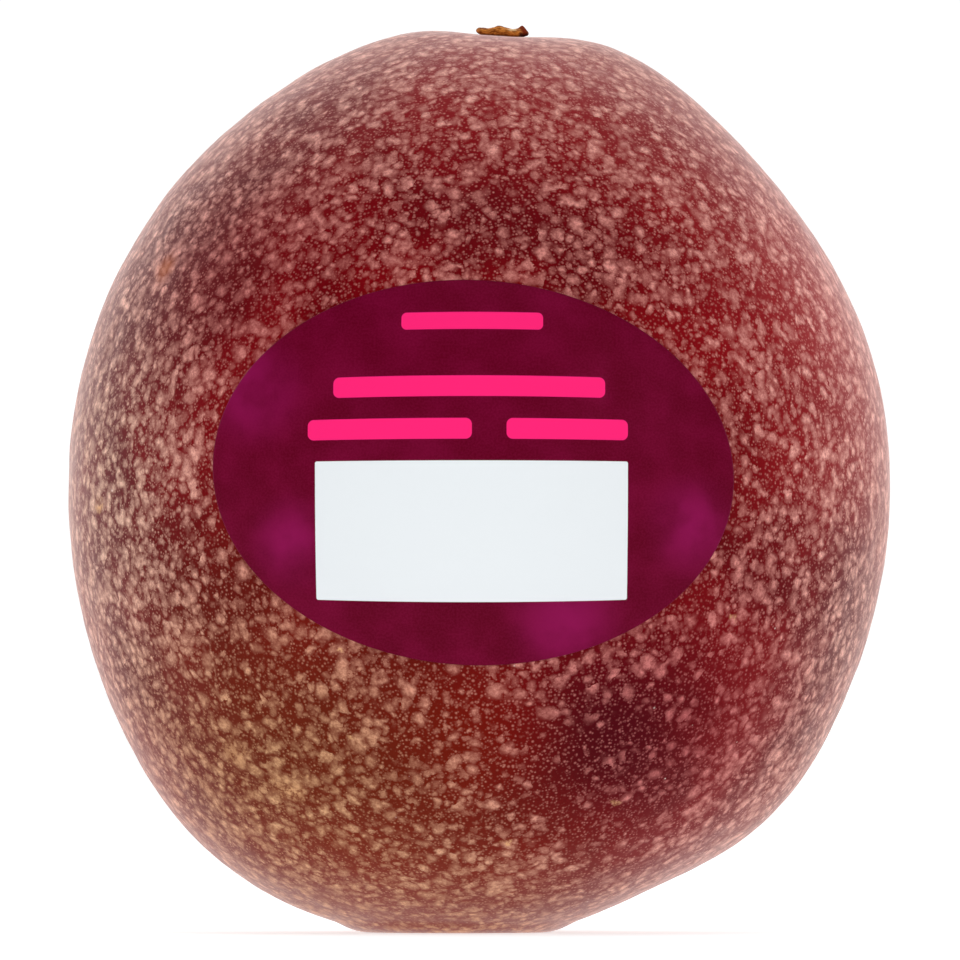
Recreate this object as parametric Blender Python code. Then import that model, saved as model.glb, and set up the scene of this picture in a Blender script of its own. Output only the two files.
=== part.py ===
"""A ripe purple passion fruit with its dried stalk scrap and an oval paper label.

The fruit stands on a small flat spot, stalk end up, and the label faces -Y.
Lengths below are in millimetres and angles in degrees; the objects are made in metres, +Z up.
"""

import math

import bmesh
import bpy
from mathutils import Vector

MM = 0.001

# Fruit: an ellipsoid about its middle, with swellings and flats laid over it.
HALF_WIDTH = 26.0
HALF_DEPTH = 25.6
HALF_HEIGHT = 28.5
MIDDLE_HEIGHT = 28.35

# Each swelling: azimuth from +X, elevation, height over the ellipsoid, spread.
SWELLINGS = {
    "crown": (180, 82, 0.50, 12),
    "right_shoulder": (0, 73, 0.65, 13),
    "front_shoulder": (-90, 64, 0.25, 16),
    "back_shoulder": (90, 64, 0.35, 18),
    "upper_right_flat": (0, 45, -0.55, 20),
    "upper_left_flat": (180, 40, -0.15, 30),
    "lower_left_belly": (180, -55, 1.25, 26),
    "lower_right_belly": (0, -46, 0.60, 16),
    "lower_right_hollow": (0, -68, -0.50, 12),
    "lower_front_belly": (-90, -52, 0.55, 26),
    "lower_back_belly": (80, -48, 0.80, 28),
    "upper_back_flat": (75, 40, -0.35, 24),
}

# Stalk end: a round dimple that holds the dried scrap.
STALK_X = 1.4
DIMPLE_RADIUS = 4.2
DIMPLE_DEPTH = 0.75

# Resting spot: a disc pressed flat where the fruit lies on its blossom end.
FOOT_X = -1.5
FOOT_RADIUS = 5.0
FOOT_BLEND = 3.0

# Mesh of the fruit, with its rings drawn together towards both ends.
FRUIT_SEGMENTS = 64
FRUIT_RINGS = 42
RING_CROWDING = 0.55

# Label: a flat oval bent round the front of the fruit, turned a little clockwise.
LABEL_X = -0.46
LABEL_HEIGHT = 29.15
LABEL_HALF_LENGTH = 17.7
LABEL_HALF_WIDTH = 12.3
LABEL_BEND_RADIUS = 25.8
LABEL_TILT = -2.8
LABEL_GAP = 0.10
LABEL_THICKNESS = 0.18
LABEL_SEGMENTS = 56
LABEL_RINGS = 8

# Stalk scrap: a ragged disc with a knob where the stalk broke off.
STUB_RADIUS = 1.55
STUB_THICKNESS = 0.44
STUB_HEIGHT = 56.95
KNOB_X = 1.05
KNOB_RADIUS = 0.45
KNOB_HEIGHT = 0.30
STUB_SEGMENTS = 36
STUB_RINGS = 12


def heading(azimuth, elevation):
    """Unit vector for an azimuth from +X and an elevation, in degrees."""
    a = math.radians(azimuth)
    e = math.radians(elevation)
    return Vector((math.cos(e) * math.cos(a), math.cos(e) * math.sin(a), math.sin(e)))


def ease(t):
    """Smooth step from 0 to 1, held outside that range."""
    t = min(max(t, 0.0), 1.0)
    return t * t * (3.0 - 2.0 * t)


def body_radius(d):
    """Distance from the middle to the skin along unit vector d, before the two ends are shaped."""
    reach = 1.0 / math.sqrt(
        (d.x / HALF_WIDTH) ** 2 + (d.y / HALF_DEPTH) ** 2 + (d.z / HALF_HEIGHT) ** 2
    )
    for azimuth, elevation, height, spread in SWELLINGS.values():
        away = d.angle(heading(azimuth, elevation)) / math.radians(spread)
        reach += height * math.exp(-away * away)
    return reach


def skin_radius(d):
    """Distance from the middle to the finished skin along unit vector d."""
    reach = body_radius(d)
    if d.z > 0.5:
        across = math.hypot(reach * d.x - STALK_X, reach * d.y) / DIMPLE_RADIUS
        reach -= DIMPLE_DEPTH * math.exp(-across * across)
    if d.z < -0.5:
        to_floor = MIDDLE_HEIGHT / -d.z
        across = math.hypot(to_floor * d.x - FOOT_X, to_floor * d.y)
        pressed = 1.0 - ease((across - FOOT_RADIUS) / FOOT_BLEND)
        reach = min(reach + (to_floor - reach) * pressed, to_floor)
    return reach


def skin_point(d, lift=0.0):
    """Point on the skin along unit vector d, raised by lift."""
    return d * (skin_radius(d) + lift) + Vector((0.0, 0.0, MIDDLE_HEIGHT))


def principled(name, colour, roughness):
    """A plain material with one colour."""
    material = bpy.data.materials.new(name)
    material.use_nodes = True
    shader = material.node_tree.nodes["Principled BSDF"]
    shader.inputs["Base Color"].default_value = (*colour, 1.0)
    shader.inputs["Roughness"].default_value = roughness
    return material


def closed_rings(name, start, rings, end, material, collection):
    """One closed body from a start point, rings of points and an end point, in millimetres."""
    mesh = bmesh.new()
    first = mesh.verts.new(start * MM)
    loops = [[mesh.verts.new(p * MM) for p in ring] for ring in rings]
    last = mesh.verts.new(end * MM)
    count = len(loops[0])
    for i in range(count):
        j = (i + 1) % count
        mesh.faces.new((first, loops[0][i], loops[0][j]))
        mesh.faces.new((last, loops[-1][j], loops[-1][i]))
        for upper, lower in zip(loops, loops[1:]):
            mesh.faces.new((upper[i], lower[i], lower[j], upper[j]))
    bmesh.ops.recalc_face_normals(mesh, faces=mesh.faces)
    for face in mesh.faces:
        face.smooth = True
    data = bpy.data.meshes.new(name)
    mesh.to_mesh(data)
    mesh.free()
    data.materials.append(material)
    body = bpy.data.objects.new(name, data)
    collection.objects.link(body)
    return body


def make_fruit(collection):
    """The fruit: one solid, pole to pole."""
    rings = []
    for k in range(1, FRUIT_RINGS):
        share = k / FRUIT_RINGS
        crowded = share - RING_CROWDING * math.sin(2 * math.pi * share) / (2 * math.pi)
        elevation = 90 - 180 * crowded
        rings.append(
            [
                skin_point(heading(360 * i / FRUIT_SEGMENTS, elevation))
                for i in range(FRUIT_SEGMENTS)
            ]
        )
    skin = principled("fruit_skin", (0.28, 0.035, 0.05), 0.5)
    top = skin_point(Vector((0.0, 0.0, 1.0)))
    bottom = skin_point(Vector((0.0, 0.0, -1.0)))
    return closed_rings("fruit", top, rings, bottom, skin, collection)


def label_direction(share, turn):
    """Unit vector to the spot at a share of the way out from the label's centre, bent round the fruit."""
    centre = Vector((LABEL_X, -HALF_DEPTH, LABEL_HEIGHT - MIDDLE_HEIGHT)).normalized()
    right = Vector((0.0, 0.0, 1.0)).cross(centre).normalized()
    up = centre.cross(right)
    u = share * LABEL_HALF_LENGTH * math.cos(turn)
    v = share * LABEL_HALF_WIDTH * math.sin(turn)
    tilt = math.radians(LABEL_TILT)
    across = u * math.cos(tilt) - v * math.sin(tilt)
    along = u * math.sin(tilt) + v * math.cos(tilt)
    flat = math.hypot(across, along)
    if flat == 0.0:
        return centre
    sideways = (right * across + up * along) / flat
    bend = flat / LABEL_BEND_RADIUS
    return centre * math.cos(bend) + sideways * math.sin(bend)


def make_label(collection):
    """The label: a thin oval shell just clear of the skin."""
    outer = LABEL_GAP + LABEL_THICKNESS
    faces = [(k / LABEL_RINGS, outer) for k in range(1, LABEL_RINGS + 1)]
    faces += [(k / LABEL_RINGS, LABEL_GAP) for k in range(LABEL_RINGS, 0, -1)]
    rings = [
        [
            skin_point(label_direction(share, 2 * math.pi * i / LABEL_SEGMENTS), lift)
            for i in range(LABEL_SEGMENTS)
        ]
        for share, lift in faces
    ]
    centre = label_direction(0.0, 0.0)
    paper = principled("label_paper", (0.12, 0.002, 0.02), 0.45)
    start = skin_point(centre, outer)
    end = skin_point(centre, LABEL_GAP)
    return closed_rings("label", start, rings, end, paper, collection)


def stub_point(turn, slope):
    """Point of the stalk scrap at an angle round it and a slope from its top (0) to its base (pi)."""
    ragged = 1 + 0.12 * math.cos(3 * turn + 0.6) + 0.07 * math.cos(5 * turn)
    reach = STUB_RADIUS * ragged * math.sin(slope)
    x = reach * math.cos(turn)
    y = reach * math.sin(turn)
    z = 0.5 * STUB_THICKNESS * math.cos(slope)
    if slope < 0.5 * math.pi:
        off = math.hypot(x - KNOB_X, y) / KNOB_RADIUS
        z += KNOB_HEIGHT * math.exp(-off * off)
    return Vector((STALK_X + x, y, STUB_HEIGHT + z))


def make_stub(collection):
    """The dried scrap of stalk in the dimple."""
    rings = [
        [
            stub_point(2 * math.pi * i / STUB_SEGMENTS, math.pi * k / STUB_RINGS)
            for i in range(STUB_SEGMENTS)
        ]
        for k in range(1, STUB_RINGS)
    ]
    bark = principled("stalk_bark", (0.20, 0.09, 0.03), 0.85)
    start = stub_point(0.0, 0.0)
    end = stub_point(0.0, math.pi)
    return closed_rings("stem_stub", start, rings, end, bark, collection)


def main():
    for old in list(bpy.data.objects):
        bpy.data.objects.remove(old, do_unlink=True)
    collection = bpy.data.collections.new("passion_fruit")
    bpy.context.scene.collection.children.link(collection)
    make_fruit(collection)
    make_stub(collection)
    make_label(collection)


main()
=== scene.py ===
"""Looks of a ripe purple passion fruit: speckled waxy skin, a dried scrap of stalk and an oval label.

Shapes are worked out in millimetres and made in metres, +Z up, the label towards -Y.
"""

import math

import bpy
import numpy as np
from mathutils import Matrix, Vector, noise


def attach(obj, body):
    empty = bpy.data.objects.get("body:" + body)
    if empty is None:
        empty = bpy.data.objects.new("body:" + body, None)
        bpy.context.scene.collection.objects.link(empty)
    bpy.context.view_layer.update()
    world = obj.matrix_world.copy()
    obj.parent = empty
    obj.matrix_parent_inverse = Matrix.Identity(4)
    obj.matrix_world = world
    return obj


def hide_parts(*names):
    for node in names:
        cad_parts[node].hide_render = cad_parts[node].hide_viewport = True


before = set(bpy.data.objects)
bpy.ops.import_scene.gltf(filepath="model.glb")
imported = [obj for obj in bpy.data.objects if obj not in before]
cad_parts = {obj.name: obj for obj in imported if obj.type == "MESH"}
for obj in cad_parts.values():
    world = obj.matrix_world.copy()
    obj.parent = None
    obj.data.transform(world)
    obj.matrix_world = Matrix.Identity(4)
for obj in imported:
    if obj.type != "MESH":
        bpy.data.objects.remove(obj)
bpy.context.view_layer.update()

MM = 0.001

# Fruit: an ellipsoid about its middle, with swellings and flats laid over it.
HALF_WIDTH = 26.0
HALF_DEPTH = 25.6
HALF_HEIGHT = 28.5
MIDDLE_HEIGHT = 28.35

# Each swelling: azimuth from +X, elevation, height over the ellipsoid, spread.
SWELLINGS = {
    "crown": (180, 82, 0.50, 12),
    "right_shoulder": (0, 73, 0.65, 13),
    "front_shoulder": (-90, 64, 0.25, 16),
    "back_shoulder": (90, 64, 0.35, 18),
    "upper_right_flat": (0, 45, -0.55, 20),
    "upper_left_flat": (180, 40, -0.15, 30),
    "lower_left_belly": (180, -55, 1.25, 26),
    "lower_right_belly": (0, -46, 0.60, 16),
    "lower_right_hollow": (0, -68, -0.50, 12),
    "lower_front_belly": (-90, -52, 0.55, 26),
    "lower_back_belly": (80, -48, 0.80, 28),
    "upper_back_flat": (75, 40, -0.35, 24),
}
STALK_X = 1.4
DIMPLE_RADIUS = 4.2
DIMPLE_DEPTH = 0.66
FOOT_X = -1.5
FOOT_RADIUS = 5.0
FOOT_BLEND = 3.0

# Label: a flat oval bent round the front of the fruit, turned a little clockwise.
LABEL_X = -0.46
LABEL_HEIGHT = 29.15
LABEL_HALF_LENGTH = 17.7
LABEL_HALF_WIDTH = 12.3
LABEL_BEND_RADIUS = 25.8
LABEL_TILT = -2.8
LABEL_LIFT = 0.12
LABEL_SHEET = 40.0

# Print on the label, in millimetres right of and above its middle: places, half lengths and half widths.
PRINTED_BARS = (
    (0.0, 9.6, 4.5, 0.55),
    (-0.2, 5.4, 8.7, 0.65),
    (-5.3, 2.7, 5.3, 0.65),
    (6.1, 2.7, 3.9, 0.65),
)
PANEL = (-0.05, -3.78, 10.05, 4.45)
MAGENTA_CLOUDS = (
    ((-14.5, 5.5), 4.5),
    ((-11.8, -4.5), 3.8),
    ((6.0, -9.8), 4.6),
    ((14.6, -3.5), 4.2),
)

# Scuffs on the front of the skin, in millimetres: place right of the middle, height, half sizes, strength.
SCUFFS = (
    (-11.8, 9.5, (1.7, 1.6, 1.1), 0.75),
    (-15.0, 11.7, (1.7, 1.7, 1.4), 0.45),
    (-23.6, 27.1, (0.9, 0.9, 0.7), 0.9),
    (1.7, 6.3, (0.55, 0.5, 0.3), 1.0),
    (-8.7, 18.0, (0.35, 0.3, 0.12), 0.9),
    (-7.7, 12.6, (0.65, 0.3, 0.14), 0.8),
    (-10.9, 10.3, (0.5, 0.4, 0.16), 0.9),
    (15.9, 19.9, (0.4, 0.8, 0.3), 0.9),
    (8.5, 8.6, (0.5, 0.8, 0.3), 0.8),
)

# Stalk scrap: its half sizes along X and Y, how far its middle is off the stalk's, its top and its bottom.
STALK_HALVES = (1.58, 1.35)
STALK_SHIFT = -0.06
STALK_TOP = 57.12
STALK_BOTTOM = 56.72

# Unevenness of the skin: the height of each layer of noise, and the size of its features.
UNEVEN = ((0.07, 6.0), (0.025, 1.6))

# Cells along each side of the skin's mesh, and the gap round each part of its baking chart.
FRUIT_CELLS = 128
CHART_MARGIN = 0.012

# Studio, in metres and watts: where each soft light is and its power, what they aim at, and the camera.
LIGHTS = {
    "right": ((0.9, -0.75, 0.45), 4.9),
    "left": ((-0.9, -0.75, 0.35), 4.7),
    "top": ((0.0, -0.55, 1.1), 3.9),
}
LIGHT_AIM = (0.0, 0.0, 0.03)
LIGHT_SIZE = 0.7
FLOOR_HALF = 3.0
CAMERA_PLACE = (0.00006, -2.5, 0.0286)
CAMERA_LENS = 1483.0


# ---------------------------------------------------------------- shape


def headings(azimuth, elevation):
    """Unit vectors for azimuths from +X and elevations, in degrees."""
    a = np.radians(azimuth)
    e = np.radians(elevation)
    return np.stack([np.cos(e) * np.cos(a), np.cos(e) * np.sin(a), np.sin(e)], axis=-1)


def ease(t):
    """Smooth step from 0 to 1, held outside that range."""
    t = np.clip(t, 0.0, 1.0)
    return t * t * (3.0 - 2.0 * t)


def skin_radius(d):
    """Distance from the middle to the skin along each unit vector in d."""
    x, y, z = d[:, 0], d[:, 1], d[:, 2]
    reach = 1.0 / np.sqrt((x / HALF_WIDTH) ** 2 + (y / HALF_DEPTH) ** 2 + (z / HALF_HEIGHT) ** 2)
    for azimuth, elevation, height, spread in SWELLINGS.values():
        turn = np.arccos(np.clip(d @ headings(azimuth, elevation), -1.0, 1.0))
        reach += height * np.exp(-((turn / math.radians(spread)) ** 2))
    across = np.hypot(reach * x - STALK_X, reach * y) / DIMPLE_RADIUS
    reach -= np.where(z > 0.5, DIMPLE_DEPTH * np.exp(-across * across), 0.0)
    to_floor = MIDDLE_HEIGHT / np.where(z < -0.5, -z, 0.5)
    off = np.hypot(to_floor * x - FOOT_X, to_floor * y)
    pressed = 1.0 - ease((off - FOOT_RADIUS) / FOOT_BLEND)
    low = np.minimum(reach + (to_floor - reach) * pressed, to_floor)
    return np.where(z < -0.5, low, reach)


def skin_points(d, lift=0.0):
    """Points on the skin along unit vectors d, raised by lift."""
    points = d * (skin_radius(d) + lift)[:, None]
    points[:, 2] += MIDDLE_HEIGHT
    return points


def fractal(points, size, octaves, seed):
    """Soft noise about 0 at points in millimetres, with features of a given size."""
    shift = Vector((seed * 17.3, seed * -9.1, seed * 5.7))
    return np.array(
        [noise.fractal(Vector(p) / size + shift, 1.0, 2.1, octaves) for p in points.tolist()]
    )


def ball(n):
    """Directions and outward quads of a cube blown up to a ball, and the chart corners of the quads."""
    steps = np.tan(np.linspace(-1.0, 1.0, n + 1) * math.pi / 4)
    row, column = np.meshgrid(np.arange(n), np.arange(n), indexing="ij")
    first = (row * (n + 1) + column).ravel()
    quad = np.stack([first, first + n + 1, first + n + 2, first + 1], axis=1)
    grid = np.stack([quad // (n + 1), quad % (n + 1)], axis=-1) / n
    points, quads, charts = [], [], []
    for side in range(6):
        axis = side % 3
        sign = 1.0 if side < 3 else -1.0
        u, v = np.meshgrid(steps, steps * sign, indexing="ij")
        p = np.empty((n + 1, n + 1, 3))
        p[..., axis] = sign
        p[..., (axis + 1) % 3] = u
        p[..., (axis + 2) % 3] = v
        points.append(p.reshape(-1, 3))
        quads.append(quad + side * (n + 1) ** 2)
        inset = CHART_MARGIN + (1.0 - 2.0 * CHART_MARGIN) * grid
        charts.append((inset + [side % 3, side // 3]) / [3.0, 2.0])
    d = np.concatenate(points)
    d /= np.linalg.norm(d, axis=1)[:, None]
    _, keep, whole = np.unique(np.round(d, 6), axis=0, return_index=True, return_inverse=True)
    return d[keep], whole.reshape(-1)[np.concatenate(quads)], np.concatenate(charts)


def add_mesh(name, points, faces, material):
    """A smooth mesh object from points in millimetres."""
    data = bpy.data.meshes.new(name)
    data.from_pydata((points * MM).tolist(), [], [list(f) for f in faces])
    data.polygons.foreach_set("use_smooth", [True] * len(data.polygons))
    data.materials.append(material)
    data.update()
    piece = bpy.data.objects.new(name, data)
    bpy.context.scene.collection.objects.link(piece)
    return piece


def ring_faces(rings, count, start, end):
    """Faces of a closed body made of rings of points, with a point at each end."""
    faces = []
    for i in range(count):
        j = (i + 1) % count
        faces.append((start, i, j))
        faces.append((end, (rings - 1) * count + j, (rings - 1) * count + i))
        for k in range(rings - 1):
            faces.append((k * count + i, (k + 1) * count + i, (k + 1) * count + j, k * count + j))
    return faces


# ---------------------------------------------------------------- materials


def srgb(red, green, blue):
    """A screen colour, 0 to 255, as linear light."""
    out = []
    for value in (red, green, blue):
        v = value / 255.0
        out.append(v / 12.92 if v <= 0.04045 else ((v + 0.055) / 1.055) ** 2.4)
    return (*out, 1.0)


class Web:
    """A material's nodes, added and joined one call at a time. Lengths are in millimetres."""

    def __init__(self, name):
        self.material = bpy.data.materials.new(name)
        self.material.use_nodes = True
        self.nodes = self.material.node_tree.nodes
        self.links = self.material.node_tree.links
        self.shader = self.nodes["Principled BSDF"]

    def put(self, kind, inputs, **settings):
        node = self.nodes.new(kind)
        for key, value in settings.items():
            setattr(node, key, value)
        for key, value in inputs.items():
            self.join(node.inputs[key], value)
        return node

    def join(self, socket, value):
        if isinstance(value, bpy.types.NodeSocket):
            self.links.new(value, socket)
        else:
            socket.default_value = value

    def place(self):
        """Where a spot is on the object."""
        here = self.put("ShaderNodeTexCoord", {}).outputs["Object"]
        return self.vector("MULTIPLY", here, (1000.0, 1000.0, 1000.0))

    def sums(self, operation, a, b=0.0, c=0.0):
        node = self.put("ShaderNodeMath", {0: a, 1: b, 2: c}, operation=operation)
        return node.outputs[0]

    def vector(self, operation, a, b):
        return self.put("ShaderNodeVectorMath", {0: a, 1: b}, operation=operation).outputs[0]

    def shift(self, place, by, size=None):
        """A place moved: by a fixed amount, or by noise about a half, up to a size."""
        if size is not None:
            by = self.vector("SUBTRACT", by, (0.5, 0.5, 0.5))
            by = self.vector("MULTIPLY", by, (size, size, size))
        return self.vector("ADD", place, by)

    def step(self, value, low, high, bottom=0.0, top=1.0):
        """Smooth step of a value between low and high, which may fall."""
        inputs = {"Value": value, "From Min": low, "From Max": high, "To Min": bottom, "To Max": top}
        node = self.put("ShaderNodeMapRange", inputs, interpolation_type="SMOOTHSTEP")
        return node.outputs["Result"]

    def noise(self, place, size, detail=2.0, rough=0.5):
        inputs = {"Vector": place, "Scale": 1.0 / size, "Detail": detail, "Roughness": rough}
        return self.put("ShaderNodeTexNoise", inputs)

    def mix(self, share, a, b):
        node = self.put("ShaderNodeMix", {}, data_type="RGBA", blend_type="MIX")
        self.join(node.inputs[0], share)
        self.join(node.inputs[6], a)
        self.join(node.inputs[7], b)
        return node.outputs[2]

    def spot(self, place, centre, radius, soft=1.0):
        """1 at a centre, falling to 0 at a radius."""
        off = self.put("ShaderNodeVectorMath", {0: place, 1: centre}, operation="DISTANCE")
        return self.step(off.outputs["Value"], radius, radius * (1.0 - soft))

    def patch(self, place, centre, halves, soft=1.0):
        """1 at a centre, falling to 0 at the surface of a ball squashed to given half sizes."""
        off = self.vector("DIVIDE", self.vector("SUBTRACT", place, centre), halves)
        far = self.put("ShaderNodeVectorMath", {0: off}, operation="LENGTH")
        return self.step(far.outputs["Value"], 1.0, 1.0 - soft)

    def blotches(self, place, size, least, most, share, soft=1.0):
        """Round marks at random, with radii from least to most, in a share of the cells of a given size."""
        inputs = {"Vector": place, "Scale": 1.0 / size, "Randomness": 1.0}
        cells = self.put("ShaderNodeTexVoronoi", inputs, feature="F1")
        dice = self.put("ShaderNodeSeparateColor", {0: cells.outputs["Color"]})
        radius = self.sums("MULTIPLY_ADD", dice.outputs[0], (most - least) / size, least / size)
        shown = self.step(dice.outputs[1], self.sums("ADD", share, 0.05), self.sums("SUBTRACT", share, 0.05))
        strength = self.step(dice.outputs[2], 0.0, 1.0, 0.5, 1.0)
        inner = self.sums("MULTIPLY", radius, 1.0 - soft)
        mark = self.step(cells.outputs["Distance"], radius, inner)
        return self.sums("MULTIPLY", mark, self.sums("MULTIPLY", shown, strength))


def front(x, z):
    """The spot on the front of the skin at a distance right of the middle and a height."""
    up = z - MIDDLE_HEIGHT
    deep = math.sqrt(max(HALF_DEPTH**2 - x * x - up**2 * 0.8, 9.0))
    d = Vector((x, -deep, up)).normalized()
    return tuple(skin_points(np.array([d]))[0])


def skin_zones(web, here):
    """Stretches of the skin that differ in colour, by name: each is strongest at its middle and fades out.
    The two stretches that follow the outline seen from the front carry painted sheen.
    """
    depth = web.sums("ABSOLUTE", web.put("ShaderNodeSeparateXYZ", {0: here}).outputs[1])
    return {
        "painted_rim_sheen": web.step(depth, 11.0, 1.0, 0.0, 0.5),
        # Painted sheen: the sides round the outline seen from the front, made paler below.
        "sides": web.step(depth, 22.0, 7.0),
        "top": web.spot(here, (4.0, -9.0, 57.0), 19.0),
        "upper_left": web.spot(here, (-22.0, -10.0, 42.0), 18.0),
        "upper_right": web.spot(here, (26.0, -10.0, 42.0), 24.0),
        "left": web.spot(here, (-24.0, -10.0, 28.0), 17.0),
        "lower_left": web.spot(here, front(-12.0, 9.5), 23.0),
        "lower_middle": web.spot(here, front(-1.0, 13.0), 8.0),
        "lower_right": web.spot(here, front(8.0, 13.0), 12.0),
        "base": web.spot(here, (-4.0, -8.0, -2.0), 20.0),
    }


def ground_colour(web, here, zones):
    """Between the blotches: deep crimson, redder high on the right and browner low down, with a painted sheen
    that makes it paler round the outline.
    """
    broad = web.noise(here, 9.0, 3.0).outputs["Fac"]
    ground = web.mix(web.step(broad, 0.35, 0.65), srgb(94, 0, 8), srgb(118, 3, 12))
    tints = {
        "top": srgb(142, 14, 22),
        "upper_right": srgb(150, 14, 22),
        "lower_right": srgb(78, 0, 12),
        "lower_middle": srgb(114, 0, 0),
        "lower_left": srgb(100, 32, 8),
        "base": srgb(134, 42, 18),
        "upper_left": srgb(92, 4, 12),
        # Painted sheen: a pale pink tint round the outline seen from the front.
        "painted_rim_sheen": srgb(158, 84, 72),
    }
    for zone, colour in tints.items():
        ground = web.mix(zones[zone], ground, colour)
    return ground


def blotch_colour(web, here, zones):
    """On the blotches: rosy beige, yellower low on the left and duller in two places, with painted sheen that
    makes them paler on the sides.
    """
    # Painted sheen: paler blotches on the sides, round the outline seen from the front.
    pale = web.mix(zones["sides"], srgb(226, 148, 138), srgb(242, 186, 170))
    pale = web.mix(zones["lower_left"], pale, srgb(212, 164, 120))
    pale = web.mix(zones["base"], pale, srgb(226, 178, 138))
    pale = web.mix(web.sums("MULTIPLY", zones["upper_right"], 0.7), pale, srgb(246, 180, 170))
    pale = web.mix(web.spot(here, front(13.0, 13.0), 15.0), pale, srgb(204, 112, 112))
    pale = web.mix(web.spot(here, front(-15.0, 41.0), 13.0), pale, srgb(208, 126, 120))
    return web.mix(zones["left"], pale, srgb(238, 196, 172))


def blotch_cover(web, here, bent, zones):
    """Where the blotches are: three sizes of them, sparse low on the right, and crowded on the sides as
    painted sheen round the outline.
    """
    crowd = web.step(web.noise(here, 5.0, 2.0).outputs["Fac"], 0.35, 0.65, 0.35, 0.8)
    bare = web.spot(here, front(10.0, 8.0), 21.0)
    share = web.sums("MULTIPLY_ADD", bare, -0.45, crowd)
    # Painted sheen: more blotches on the sides make the outline seen from the front paler.
    share = web.sums("MULTIPLY_ADD", zones["sides"], 0.45, share)
    share = web.sums("MULTIPLY_ADD", zones["left"], 0.35, share)
    large = web.blotches(bent, 1.05, 0.28, 0.82, share)
    middling = web.blotches(web.shift(bent, (31.0, 7.0, 13.0)), 0.8, 0.24, 0.66, share)
    small = web.blotches(web.shift(bent, (9.0, 23.0, 47.0)), 0.55, 0.18, 0.46, share)
    clear = web.sums("MULTIPLY", web.sums("SUBTRACT", 1.0, large), web.sums("SUBTRACT", 1.0, middling))
    clear = web.sums("MULTIPLY", clear, web.sums("MULTIPLY_ADD", small, -0.8, 1.0))
    grain = web.noise(here, 0.2, 2.0, 0.7).outputs["Fac"]
    return web.sums("MULTIPLY", web.sums("SUBTRACT", 1.0, clear), web.step(grain, 0.3, 0.68, 0.5, 1.05))


def prick_cover(web, here):
    """Where the pin-prick dots between the blotches are."""
    dots = web.blotches(web.shift(here, (5.0, 41.0, 3.0)), 0.24, 0.08, 0.14, 1.1)
    specks = web.blotches(web.shift(here, (17.0, 2.0, 29.0)), 0.32, 0.09, 0.16, 0.8)
    return web.sums("MULTIPLY", web.sums("MAXIMUM", dots, specks), 0.52)


def scuff_cover(web, bent, chafed):
    """Where the scuffs on the front are."""
    scuffed = 0.0
    for x, z, halves, strength in SCUFFS:
        mark = web.patch(bent, front(x, z), halves, 0.8)
        scuffed = web.sums("MAXIMUM", scuffed, web.sums("MULTIPLY", mark, strength))
    return web.sums("MULTIPLY", scuffed, chafed)


def skin_material():
    web = Web("fruit_skin")
    here = web.place()
    drift = web.noise(here, 1.3, 2.0).outputs["Color"]
    fray = web.noise(here, 0.3, 2.0, 0.6).outputs["Color"]
    bent = web.shift(here, drift, 0.8)
    bent = web.shift(bent, fray, 0.34)

    # Pale blotches and dots on a crimson ground.
    zones = skin_zones(web, here)
    mottle = web.sums("MAXIMUM", blotch_cover(web, here, bent, zones), prick_cover(web, here))
    skin = web.mix(mottle, ground_colour(web, here, zones), blotch_colour(web, here, zones))

    # A few corky orange dots, and tiny white dots of painted glint.
    cork = web.blotches(web.shift(here, (3.0, 3.0, 3.0)), 5.0, 0.12, 0.22, 0.45, 0.8)
    skin = web.mix(web.sums("MULTIPLY", cork, 0.7), skin, srgb(214, 120, 60))
    # Painted highlight: tiny white glints put into the colour.
    painted_glints = web.blotches(web.shift(here, (1.0, 6.0, 2.0)), 2.0, 0.07, 0.11, 0.3, 0.8)
    skin = web.mix(painted_glints, skin, srgb(240, 214, 204))

    # Tan scuffs and a rusty patch high on the left.
    chafed = web.step(web.noise(here, 0.45, 3.0, 0.65).outputs["Fac"], 0.42, 0.6, 0.15, 1.0)
    scuffed = scuff_cover(web, bent, chafed)
    skin = web.mix(scuffed, skin, srgb(224, 172, 124))
    rust = web.patch(bent, front(-19.6, 41.9), (1.4, 1.4, 1.5))
    skin = web.mix(web.sums("MULTIPLY", rust, 0.6), skin, srgb(176, 92, 46))

    # Pale skin round the stalk, and the round scar of the blossom underneath.
    collar = web.patch(bent, (STALK_X + 0.4, 0.0, 56.6), (4.2, 4.2, 1.4), 0.8)
    skin = web.mix(web.sums("MULTIPLY", collar, 0.6), skin, srgb(232, 204, 190))
    scar = web.patch(bent, (FOOT_X, 0.0, 0.0), (2.6, 2.6, 1.0), 0.4)
    skin = web.mix(web.sums("MULTIPLY", scar, chafed), skin, srgb(176, 140, 100))

    web.join(web.shader.inputs["Base Color"], skin)
    web.join(web.shader.inputs["Roughness"], web.step(mottle, 0.0, 1.0, 0.42, 0.55))
    web.shader.inputs["IOR"].default_value = 1.45
    web.shader.inputs["Specular IOR Level"].default_value = 0.05
    web.shader.inputs["Sheen Weight"].default_value = 0.25
    web.shader.inputs["Sheen Roughness"].default_value = 0.35
    web.shader.inputs["Sheen Tint"].default_value = (1.0, 0.86, 0.80, 1.0)
    lift = web.sums("ADD", mottle, scuffed)
    bump = web.put("ShaderNodeBump", {"Strength": 0.25, "Distance": 0.00006, "Height": lift})
    web.join(web.shader.inputs["Normal"], bump.outputs[0])
    return web.material


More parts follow.
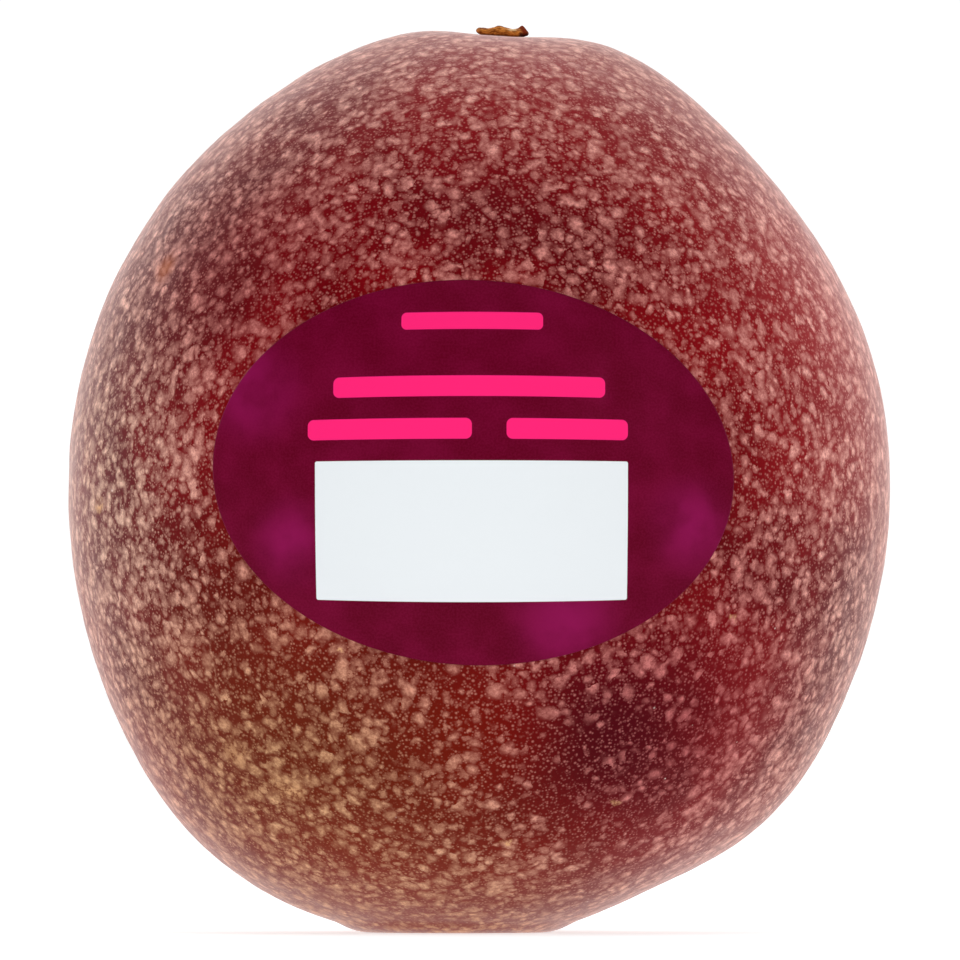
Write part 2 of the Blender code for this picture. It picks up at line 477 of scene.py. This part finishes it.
def label_material():
    web = Web("label_paper")
    flat = web.put("ShaderNodeUVMap", {}, uv_map="flat").outputs[0]
    flat = web.vector("MULTIPLY", web.vector("SUBTRACT", flat, (0.5, 0.5, 0.0)), (LABEL_SHEET,) * 3)
    sides = web.put("ShaderNodeSeparateXYZ", {0: flat})
    x, y = sides.outputs[0], sides.outputs[1]

    def past(value, middle, half):
        """How far a value is outside a stretch about a middle."""
        off = web.sums("ABSOLUTE", web.sums("SUBTRACT", value, middle))
        return web.sums("MAXIMUM", web.sums("SUBTRACT", off, half), 0.0)

    def inside(across, along, half_length, half_width, corner):
        """1 inside a rectangle whose corners are rounded to a radius."""
        dx = past(x, across, half_length - corner)
        dy = past(y, along, half_width - corner)
        off = web.sums("SQRT", web.sums("ADD", web.sums("MULTIPLY", dx, dx), web.sums("MULTIPLY", dy, dy)))
        return web.step(off, corner + 0.03, corner - 0.01)

    # Plum ink with a fine printed grain, and faint magenta clouds laid at listed places.
    clouds = web.noise(flat, 3.5, 3.0).outputs["Fac"]
    ink = web.mix(web.step(clouds, 0.35, 0.75), srgb(92, 2, 28), srgb(108, 6, 44))
    for centre, radius in MAGENTA_CLOUDS:
        glow = web.spot(flat, (*centre, 0.0), radius)
        share = web.sums("MULTIPLY", glow, web.step(clouds, 0.3, 0.6, 0.3, 0.7))
        ink = web.mix(share, ink, srgb(146, 20, 88))
    grain = web.noise(flat, 0.14, 1.0).outputs["Fac"]
    ink = web.mix(web.step(grain, 0.3, 0.7, 0.0, 0.16), ink, srgb(138, 26, 72))

    # Plain bars stand where the lettering is, and a pale panel fills the lower half.
    for across, along, half_length, half_width in PRINTED_BARS:
        bar = inside(across, along, half_length, half_width, half_width * 0.6)
        ink = web.mix(bar, ink, srgb(250, 38, 118))
    printed = web.mix(inside(*PANEL, 0.12), ink, srgb(227, 232, 235))
    web.join(web.shader.inputs["Base Color"], printed)
    web.shader.inputs["Roughness"].default_value = 0.4
    web.shader.inputs["Specular IOR Level"].default_value = 0.03
    return web.material


def stalk_material():
    web = Web("stalk_bark")
    here = web.place()
    bent = web.shift(here, web.noise(here, 0.5, 2.0).outputs["Color"], 0.35)
    fibres = web.noise(web.vector("MULTIPLY", bent, (0.7, 1.4, 4.0)), 0.42, 3.0, 0.6).outputs["Fac"]
    bark = web.mix(web.step(fibres, 0.36, 0.62), srgb(118, 54, 12), srgb(208, 130, 56))
    crest = web.patch(bent, (1.25, -0.6, 57.36), (0.8, 1.6, 0.2), 0.6)
    bark = web.mix(web.sums("MULTIPLY", crest, 0.8), bark, srgb(104, 46, 8))
    cream = web.patch(bent, (2.1, -1.0, 57.08), (0.4, 1.2, 0.16), 0.8)
    bark = web.mix(web.sums("MULTIPLY", cream, 0.9), bark, srgb(236, 204, 154))
    knob = web.patch(bent, (2.88, 0.0, 57.1), (0.42, 1.6, 0.5), 0.5)
    bark = web.mix(knob, bark, srgb(122, 44, 16))
    # Painted shade: a near-black patch under the knob, where the scrap meets the skin.
    painted_shade_under_knob = web.patch(bent, (2.75, 0.0, 56.7), (0.75, 1.7, 0.26), 0.6)
    bark = web.mix(painted_shade_under_knob, bark, srgb(56, 10, 2))
    tip = web.patch(bent, (-0.2, 0.0, 57.25), (0.7, 1.8, 0.25), 0.7)
    bark = web.mix(web.sums("MULTIPLY", tip, 0.7), bark, srgb(96, 50, 20))
    web.join(web.shader.inputs["Base Color"], bark)
    web.shader.inputs["Roughness"].default_value = 0.8
    web.shader.inputs["Specular IOR Level"].default_value = 0.1
    bump = web.put("ShaderNodeBump", {"Strength": 0.5, "Distance": 0.00008, "Height": fibres})
    web.join(web.shader.inputs["Normal"], bump.outputs[0])
    return web.material


# ---------------------------------------------------------------- pieces


def make_fruit():
    d, quads, charts = ball(FRUIT_CELLS)
    points = skin_points(d)
    uneven = sum(height * fractal(points, size, 2, k + 1) for k, (height, size) in enumerate(UNEVEN))
    clear = ease((points[:, 2] - 0.05) / 1.5)  # the flat spot stays flat
    points += d * (uneven * clear)[:, None]
    points[:, 2] = np.maximum(points[:, 2], 0.0)
    fruit = add_mesh("passion_fruit_skin", points, quads, skin_material())
    chart = fruit.data.uv_layers.new(name="OFBake")
    chart.data.foreach_set("uv", charts.reshape(-1))
    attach(fruit, "root")
    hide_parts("fruit")


def label_directions(across, along):
    """Unit vectors to spots on the label, given where they are on the flat sheet."""
    centre = Vector((LABEL_X, -HALF_DEPTH, LABEL_HEIGHT - MIDDLE_HEIGHT)).normalized()
    right = Vector((0.0, 0.0, 1.0)).cross(centre).normalized()
    up = centre.cross(right)
    flat = np.maximum(np.hypot(across, along), 1e-9)
    bend = flat / LABEL_BEND_RADIUS
    sideways = (across / flat)[:, None] * np.array(right) + (along / flat)[:, None] * np.array(up)
    return np.cos(bend)[:, None] * np.array(centre) + np.sin(bend)[:, None] * sideways


def make_label():
    """The sheet, with a rounded edge that goes down into the skin, and an underside sunk below it."""
    rings, count = 40, 160
    shares = list(np.linspace(1.0 / rings, 0.992, rings)) + [0.998, 1.0, 1.0]
    lifts = [LABEL_LIFT] * rings + [LABEL_LIFT * 0.9, LABEL_LIFT * 0.55, -0.05]
    turn = np.tile(np.arange(count) * 2 * math.pi / count, len(shares) + 1)
    share = np.repeat(shares + [0.5], count)
    lift = np.repeat(lifts + [-0.15], count)
    u = share * LABEL_HALF_LENGTH * np.cos(turn)
    v = share * LABEL_HALF_WIDTH * np.sin(turn)
    tilt = math.radians(LABEL_TILT)
    across = np.append(u * math.cos(tilt) - v * math.sin(tilt), [0.0, 0.0])
    along = np.append(u * math.sin(tilt) + v * math.cos(tilt), [0.0, 0.0])
    lift = np.append(lift, [LABEL_LIFT, -0.15])
    points = skin_points(label_directions(across, along), lift)
    total = len(share)
    faces = ring_faces(len(shares) + 1, count, total, total + 1)
    label = add_mesh("label_sheet", points, faces, label_material())
    sheet = label.data.uv_layers.new(name="flat")
    corners = np.array([loop.vertex_index for loop in label.data.loops])
    spots = np.stack([across, along], axis=1)[corners] / LABEL_SHEET + 0.5
    sheet.data.foreach_set("uv", spots.reshape(-1))
    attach(label, "root")
    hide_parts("label")


def make_stalk():
    """A dried scrap of stalk lying on the skin: a blunt tip, a hump and a knob at the other end."""
    rings, count = 40, 96
    slope = np.repeat(np.linspace(0.0, math.pi, rings + 2)[1:-1], count)
    turn = np.tile(np.arange(count) * 2 * math.pi / count, rings)
    slope = np.append(slope, [0.0, math.pi])
    turn = np.append(turn, [0.0, 0.0])
    ragged = 1.0 + 0.06 * np.cos(3 * turn + 0.6) + 0.05 * np.cos(5 * turn) + 0.04 * np.cos(11 * turn + 1.0)
    reach = ragged * np.sin(slope) ** 0.35
    x = STALK_X + STALK_SHIFT + STALK_HALVES[0] * reach * np.cos(turn)
    y = STALK_HALVES[1] * reach * np.sin(turn)
    top = STALK_TOP + 0.13 * np.exp(-(((x + 0.1) / 0.5) ** 2))
    top += 0.21 * np.exp(-(((x - 1.25) / 0.42) ** 2) - ((y + 0.3) / 1.1) ** 2)
    top += 0.22 * np.exp(-(((x - 2.75) / 0.24) ** 2) - ((y + 0.1) / 0.5) ** 2)
    bottom = STALK_BOTTOM - 0.07 * x
    z = bottom + (top - bottom) * (0.5 + 0.5 * np.cos(slope))
    points = np.stack([x, y, z], axis=1)
    points[:, 2] += 0.05 * fractal(points, 0.6, 3, 3)
    total = rings * count
    faces = ring_faces(rings, count, total, total + 1)
    stalk = add_mesh("stalk_scrap", points, faces, stalk_material())
    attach(stalk, "root")
    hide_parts("stem_stub")


# ---------------------------------------------------------------- studio


def make_floor():
    corners = [(-1, -1), (1, -1), (1, 1), (-1, 1)]
    data = bpy.data.meshes.new("floor")
    data.from_pydata([(FLOOR_HALF * x, FLOOR_HALF * y, 0) for x, y in corners], [], [(0, 1, 2, 3)])
    floor = bpy.data.objects.new("floor", data)
    bpy.context.scene.collection.objects.link(floor)
    web = Web("floor_white")
    web.shader.inputs["Base Color"].default_value = (0.6, 0.6, 0.6, 1.0)
    web.shader.inputs["Roughness"].default_value = 1.0
    web.shader.inputs["Specular IOR Level"].default_value = 0.0
    web.shader.inputs["Emission Color"].default_value = (1.0, 1.0, 1.0, 1.0)
    web.shader.inputs["Emission Strength"].default_value = 0.66
    data.materials.append(web.material)
    floor.visible_glossy = False


def make_light(name, place, power):
    data = bpy.data.lights.new(name, "AREA")
    data.shape = "DISK"
    data.size = LIGHT_SIZE
    data.energy = power
    light = bpy.data.objects.new(name, data)
    light.location = place
    beam = Vector(LIGHT_AIM) - Vector(place)
    light.rotation_euler = beam.to_track_quat("-Z", "Y").to_euler()
    light.visible_glossy = False
    light.visible_camera = False
    bpy.context.scene.collection.objects.link(light)


def make_world():
    """A white tent: plain white to the eye, but its light comes from behind the fruit."""
    world = bpy.data.worlds.new("tent")
    bpy.context.scene.world = world
    world.use_nodes = True
    nodes, links = world.node_tree.nodes, world.node_tree.links
    back = nodes["Background"]
    rays = nodes.new("ShaderNodeLightPath")
    aim = nodes.new("ShaderNodeTexCoord")
    split = nodes.new("ShaderNodeSeparateXYZ")
    links.new(aim.outputs["Generated"], split.inputs[0])
    shade = nodes.new("ShaderNodeMapRange")
    shade.interpolation_type = "SMOOTHSTEP"
    links.new(split.outputs[1], shade.inputs["Value"])
    for key, value in (("From Min", -0.1), ("From Max", 0.8), ("To Min", 0.0), ("To Max", 2.1)):
        shade.inputs[key].default_value = value
    final = nodes.new("ShaderNodeMix")
    links.new(rays.outputs["Is Camera Ray"], final.inputs[0])
    links.new(shade.outputs[0], final.inputs[2])
    final.inputs[3].default_value = 1.05
    links.new(final.outputs[0], back.inputs["Strength"])
    back.inputs["Color"].default_value = (1.0, 1.0, 1.0, 1.0)


def make_camera():
    data = bpy.data.cameras.new("camera")
    data.sensor_width = 36.0
    data.lens = CAMERA_LENS
    data.clip_start = 0.01
    data.clip_end = 20.0
    camera = bpy.data.objects.new("camera", data)
    camera.location = CAMERA_PLACE
    camera.rotation_euler = (math.radians(90.0), 0.0, 0.0)
    bpy.context.scene.collection.objects.link(camera)
    bpy.context.scene.camera = camera


make_fruit()
make_label()
make_stalk()
make_floor()
make_world()
for light_name, (light_place, light_power) in LIGHTS.items():
    make_light(light_name, light_place, light_power)
make_camera()
bpy.context.scene.view_settings.view_transform = "Standard"
